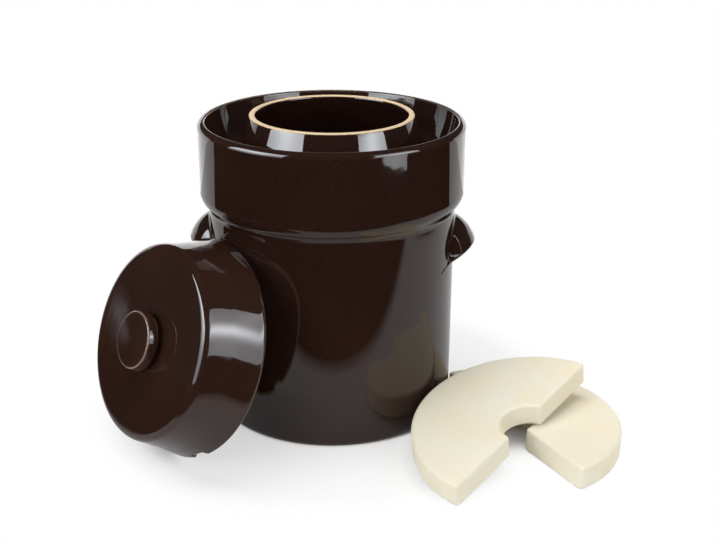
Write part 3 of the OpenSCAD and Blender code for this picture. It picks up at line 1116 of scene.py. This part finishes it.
GLEAM_RIGHT = Softbox(
    way=52.8, reach=0.26, distance=0.78, low=0.036, high=0.95, turn=4.4, rest=0.29, peak=0.66,
    middle=0.53, band=0.10, foot=0.15, corner=(-0.66, 0.175))
GLEAM_LEFT = Softbox(way=-63, reach=0.373, distance=0.78, low=0.12, high=0.95)
GLEAM_FAR = Softbox(
    way=-104, reach=0.035, distance=1.41, low=0.003, high=0.14, rest=0, peak=0.9, even=0, lean=-0.085)
SOFTBOX_TINT = (0.91, 0.945, 1, 1)
ROOM_TINT = (0.035, 0.034, 0.034, 1)
BLACK_CLOTH = (0.004, 0.004, 0.004, 1)

# Half the width of the floor, and the radius of the tent over it
FLOOR_REACH = 2.5
TENT_RADIUS = 2.4
# Distances from the crock between which the floor turns plain white, in the open and everywhere
WHITE_OPEN = (0.13, 0.225)
WHITE_ALL = (0.28, 0.36)
# How near a piece over the floor counts as its cover, and the open share at which it is no cover
COVER_REACH = 0.06
COVER_OPEN = 0.32
# Heights of the cloths that lie over one another on the table
VEIL_Z, SIDE_Z, FRONT_Z = 0.4 * MM, 0.5 * MM, 0.6 * MM
# Where the cloths beside the table start and are fully dark, and how far back they slant
DARK_SIDES = {"dark_left": (-0.37, -0.50), "dark_right": (0.545, 0.575)}
SIDE_SLANT = 0.393
# Small upright dark cards of painted shade, seen only in reflections: two corners on the floor plan
# and two heights
SHADE_CARDS = {
    "shade_card_right": ((0.155, -0.143), (0.222, -0.074), (0.135, 0.250)),
    "shade_card_left": ((-0.140, -0.205), (-0.140, -0.062), (0.181, 0.222)),
}


def floor_material(look):
    """Matte white paper of which a share looks plain white, and all of it further away from the
    crock. Under a piece it keeps its own shade."""
    material, t, surface = blank_material("Floor")
    matte = t.add("ShaderNodeBsdfDiffuse", {"Color": opaque(look.paper)}).outputs[0]
    place = t.add("ShaderNodeTexCoord").outputs["Object"]
    away = t.add("ShaderNodeVectorMath", {0: place}, operation="LENGTH").outputs["Value"]
    share = t.math("MAXIMUM", t.ramp(away, *WHITE_OPEN), look.white)
    sky = t.add("ShaderNodeAmbientOcclusion", {"Distance": COVER_REACH}).outputs["AO"]
    share = t.times(share, t.ramp(sky, 0.0, COVER_OPEN))
    share = t.math("MAXIMUM", share, t.ramp(away, *WHITE_ALL))
    t.put(surface, t.blend(t.times(share, t.plain_rays()), matte, t.emission(WHITE, 1.0)))
    return material


def sweep_material(look):
    """Matte white paper that glows a little."""
    material, t, surface = blank_material("Sweep")
    matte = t.add("ShaderNodeBsdfDiffuse", {"Color": opaque(look.paper)}).outputs[0]
    both = t.add("ShaderNodeAddShader", {0: matte, 1: t.emission(opaque(look.paper), look.glow)})
    t.put(surface, both.outputs[0])
    return material


def dark_material(name):
    """Black cloth that covers what lies behind it by the share in its attribute."""
    material, t, surface = blank_material(name)
    clear = t.add("ShaderNodeBsdfTransparent").outputs[0]
    black = t.add("ShaderNodeBsdfDiffuse", {"Color": BLACK_CLOTH}).outputs[0]
    t.put(surface, t.blend(t.attribute("share"), clear, black))
    return material


def softbox_material(name, strength):
    """Light cloth that glows by the share in its attribute."""
    material, t, surface = blank_material(name)
    t.put(surface, t.emission(SOFTBOX_TINT, t.times(t.attribute("share"), strength)))
    return material


def add_sheet(name, grid, material, share=None):
    """A stage surface made of an open grid of points (rows, columns, 3).

    One with a share for each point is there for reflections alone.
    """
    index = np.arange(grid.shape[0] * grid.shape[1]).reshape(grid.shape[:2])
    faces = np.stack([index[:-1, :-1], index[:-1, 1:], index[1:, 1:], index[1:, :-1]], 2)
    values = {} if share is None else {"share": share.reshape(-1)}
    sheet = add_mesh(name, grid.reshape(-1, 3), faces.reshape(-1, 4).tolist(), values, material)
    for ray in ("camera", "diffuse", "shadow", "transmission"):
        setattr(sheet, "visible_" + ray, share is None)
    return sheet


def flat_grid(x, y, z):
    """A flat level grid of the given x and y values."""
    xs, ys = np.meshgrid(x, y, indexing="ij")
    return np.dstack([xs, ys, np.full_like(xs, z)])


def sweep_grid(x, start, reach, height):
    """White paper that curves up behind: a quarter circle of radius reach from the level at start,
    then straight up to height."""
    a = np.linspace(0, np.pi / 2, 16)
    y = np.append(start + reach * np.sin(a), start + reach)
    z = np.append(reach * (1 - np.cos(a)), height)
    xs, ys = np.meshgrid(x, y, indexing="ij")
    return np.dstack([xs, ys, np.broadcast_to(z, xs.shape)])


def softbox_grid(box, steps=61):
    """A softbox that faces the crock, as points and as its glow at each point.

    Its lower corner next to the camera reaches out by foot, and its top stands lean further across
    than its lower edge. Glow is (rest + peak exp(-((v - middle) / band)^2)) (even + 0.35
    exp(-(u / 0.5)^2)), with u from -1 to 1 across and v from 0 to 1 up. A corner (share of the half
    width, height) is dark below and beside it.
    """
    u = np.linspace(-1, 1, steps)[:, None]
    v = np.linspace(0, 1, steps)[None]
    way, turned_way = math.radians(box.way), math.radians(box.way) + math.radians(box.turn)
    out = np.array([math.sin(way), -math.cos(way), 0])
    side = np.array([math.cos(turned_way), math.sin(turned_way), 0])
    across = u * box.reach - box.foot * (1 - v) ** 3 * (1 - u) / 2 + box.lean * (v - 0.5)
    grid = box.distance * out + across[..., None] * side
    grid[..., 2] = box.low + v * (box.high - box.low)
    glow = box.rest + box.peak * np.exp(-(((v - box.middle) / box.band) ** 2))
    if box.corner:
        edge, top = box.corner
        soft_side, soft_top = 0.14, 20 * MM
        beside = smooth_step(edge - soft_side, edge, across / box.reach)
        glow = glow * np.maximum(beside, smooth_step(top - soft_top, top, grid[..., 2]))
    return grid, glow * (box.even + 0.35 * np.exp(-((u / 0.5) ** 2)))


def set_world():
    """A dim room that looks plain white."""
    world = bpy.data.worlds.new("Room")
    bpy.context.scene.world = world
    t = Tree(world)
    room, white = (
        t.add("ShaderNodeBackground", {"Color": tint, "Strength": 1.0}).outputs[0]
        for tint in (ROOM_TINT, WHITE))
    output = t.add("ShaderNodeOutputWorld")
    t.put(output.inputs["Surface"], t.blend(t.plain_rays(), room, white))


def lay_paper(look):
    """The white floor, and the sweep behind it, which the camera doesn't see."""
    edges = [-FLOOR_REACH, FLOOR_REACH]
    add_sheet("floor", flat_grid(edges, edges, 0.0), floor_material(look))
    curve = sweep_grid(x=[-1.6, 1.6], start=0.55, reach=0.30, height=0.46)
    sweep = add_sheet("sweep", curve, sweep_material(look))
    sweep.visible_camera = False


def hang_dark_cloth(look):
    """What the glaze mirrors of the room: a dark tent, a table that is dimmed and ends in front and
    at its sides, and two small cards. The veil over the table and the two cards are painted shade,
    seen in reflections alone."""
    circle = np.linspace(0, 2 * np.pi, 73)
    rise = np.linspace(0, np.pi / 2, 13)
    tent = turned(TENT_RADIUS * np.stack([np.cos(rise), np.sin(rise)], 1), circle)
    add_sheet("dark_tent", tent, softbox_material("dark_tent", look.room), np.ones(tent.shape[:2]))
    dark = dark_material("Dark cloth")
    near, far, shade_near_crock, spread = 0.09, 2.38, 0.25, 0.22
    # Painted shade on the mirrored table: the veil, seen only in reflections, dims it, and more next to
    # the crock.
    away = np.geomspace(near, far, 30)
    veil = turned(np.stack([away, np.full_like(away, VEIL_Z)], 1), circle)
    cover = look.veil + shade_near_crock * np.exp(-((away / spread) ** 2))
    add_sheet("painted_shade_veil", veil, dark, along(cover, len(circle)))
    edges = [look.front, look.front - look.fade, -FLOOR_REACH]
    card = flat_grid([-FLOOR_REACH, FLOOR_REACH], edges, FRONT_Z)
    add_sheet("dark_front", card, dark, np.tile([0.0, 1.0, 1.0], (2, 1)))
    for name, (near, full) in DARK_SIDES.items():
        card = flat_grid([near, full, math.copysign(FLOOR_REACH, near)], [-FLOOR_REACH, 0.0], SIDE_Z)
        card[:, 1, 1] = SIDE_SLANT * np.abs(card[:, 1, 0])
        add_sheet(name, card, dark, np.repeat([[0.0], [1.0], [1.0]], 2, 1))
    # Cards of painted shade in the glaze's reflections.
    for name, (near, far, heights) in SHADE_CARDS.items():
        shade_card = np.array([[[*place, z] for z in heights] for place in (near, far)])
        add_sheet(name, shade_card, dark, np.ones((2, 2)))


def set_softboxes(look):
    """The three lights that only the glaze mirrors."""
    for name, box, radiance in (("gleam_right", GLEAM_RIGHT, look.gleam),
                                ("gleam_left", GLEAM_LEFT, look.gleam),
                                ("gleam_far", GLEAM_FAR, look.gleam_far)):
        grid, glow = softbox_grid(box)
        add_sheet(name, grid, softbox_material(name, radiance), glow)


def aimed(name, data, place, aim, roll=0.0):
    """An object at a place that looks along a direction, turned about it by roll."""
    made = bpy.data.objects.new(name, data)
    made.location = place
    made.rotation_mode = "QUATERNION"
    made.rotation_quaternion = Vector(aim).to_track_quat("-Z", "Y") @ Quaternion((0, 0, 1), roll)
    bpy.context.scene.collection.objects.link(made)
    return made


def add_lamp(name, place, aim, size, radiance):
    """A soft light on matte surfaces of an even radiance: its power is pi times its area times the
    radiance."""
    light = bpy.data.lights.new(name, "AREA")
    light.shape = "RECTANGLE"
    light.size, light.size_y = size
    light.energy = math.pi * size[0] * size[1] * radiance
    lamp = aimed(name, light, place, aim)
    lamp.visible_camera = False
    lamp.visible_glossy = False


def set_lamps(look):
    """Soft light from both sides and from above."""
    for name, side, radiance in (("light_left", -1, look.left), ("light_right", 1, look.right)):
        add_lamp(name, place=(1.3 * side, -1.1, 0.9), aim=(-side, 0.85, -0.45), size=(1.5, 1.3),
                 radiance=radiance)
    add_lamp("top_light", place=(0.0, 0.1, 1.5), aim=(0, -0.05, -1), size=(1.4, 0.9), radiance=look.top)


class CROCK_OT_stage(bpy.types.Operator):
    """Build the floor, the lights and the camera"""

    bl_idname = "crock.stage"
    bl_label = "Stage"

    def execute(self, context):
        scene = context.scene
        look = scene.crock.stage
        scene.view_settings.view_transform = "Standard"
        set_world()
        lay_paper(look)
        hang_dark_cloth(look)
        set_softboxes(look)
        set_lamps(look)
        data = bpy.data.cameras.new("Camera")
        data.sensor_width = 36.0
        data.lens = look.lens
        scene.camera = aimed("Camera", data, look.eye, look.aim, look.roll)
        return {"FINISHED"}


class CROCK_PT_panel(bpy.types.Panel):
    """The crock's operators and sizes in the sidebar"""

    bl_label = "Crock"
    bl_idname = "CROCK_PT_panel"
    bl_space_type = "VIEW_3D"
    bl_region_type = "UI"
    bl_category = "Crock"

    def draw(self, context):
        for operator in OPERATORS:
            self.layout.operator(operator.bl_idname)
        for group in context.scene.crock.bl_rna.properties:
            if group.type == "POINTER" and group.identifier != "rna_type":
                box = self.layout.box()
                box.label(text=group.name)
                settings = getattr(context.scene.crock, group.identifier)
                for size in settings.bl_rna.properties:
                    if size.identifier not in ("rna_type", "name"):
                        box.prop(settings, size.identifier)


OPERATORS = (CROCK_OT_stage, CROCK_OT_pot, CROCK_OT_ring, CROCK_OT_handles, CROCK_OT_lid, CROCK_OT_knob,
             CROCK_OT_stones)
CLASSES = (PotSizes, RingSizes, HandleSizes, LidSizes, StoneSizes, GlazeLook, StoneLook, StageLook,
           CrockSettings, *OPERATORS, CROCK_PT_panel)


def register():
    """Registers the classes and gives every scene the crock's settings."""
    for item in CLASSES:
        bpy.utils.register_class(item)
    bpy.types.Scene.crock = pointer(CrockSettings, "Crock", "Settings of the crock")


def unregister():
    """Takes the settings and the classes away again."""
    del bpy.types.Scene.crock
    for item in reversed(CLASSES):
        bpy.utils.unregister_class(item)


def main():
    """Builds the stage and every piece."""
    register()
    bpy.ops.crock.stage()
    bpy.ops.crock.pot()
    bpy.ops.crock.ring()
    bpy.ops.crock.handles()
    bpy.ops.crock.lid()
    bpy.ops.crock.knob()
    bpy.ops.crock.stones()


if __name__ == "__main__":
    main()
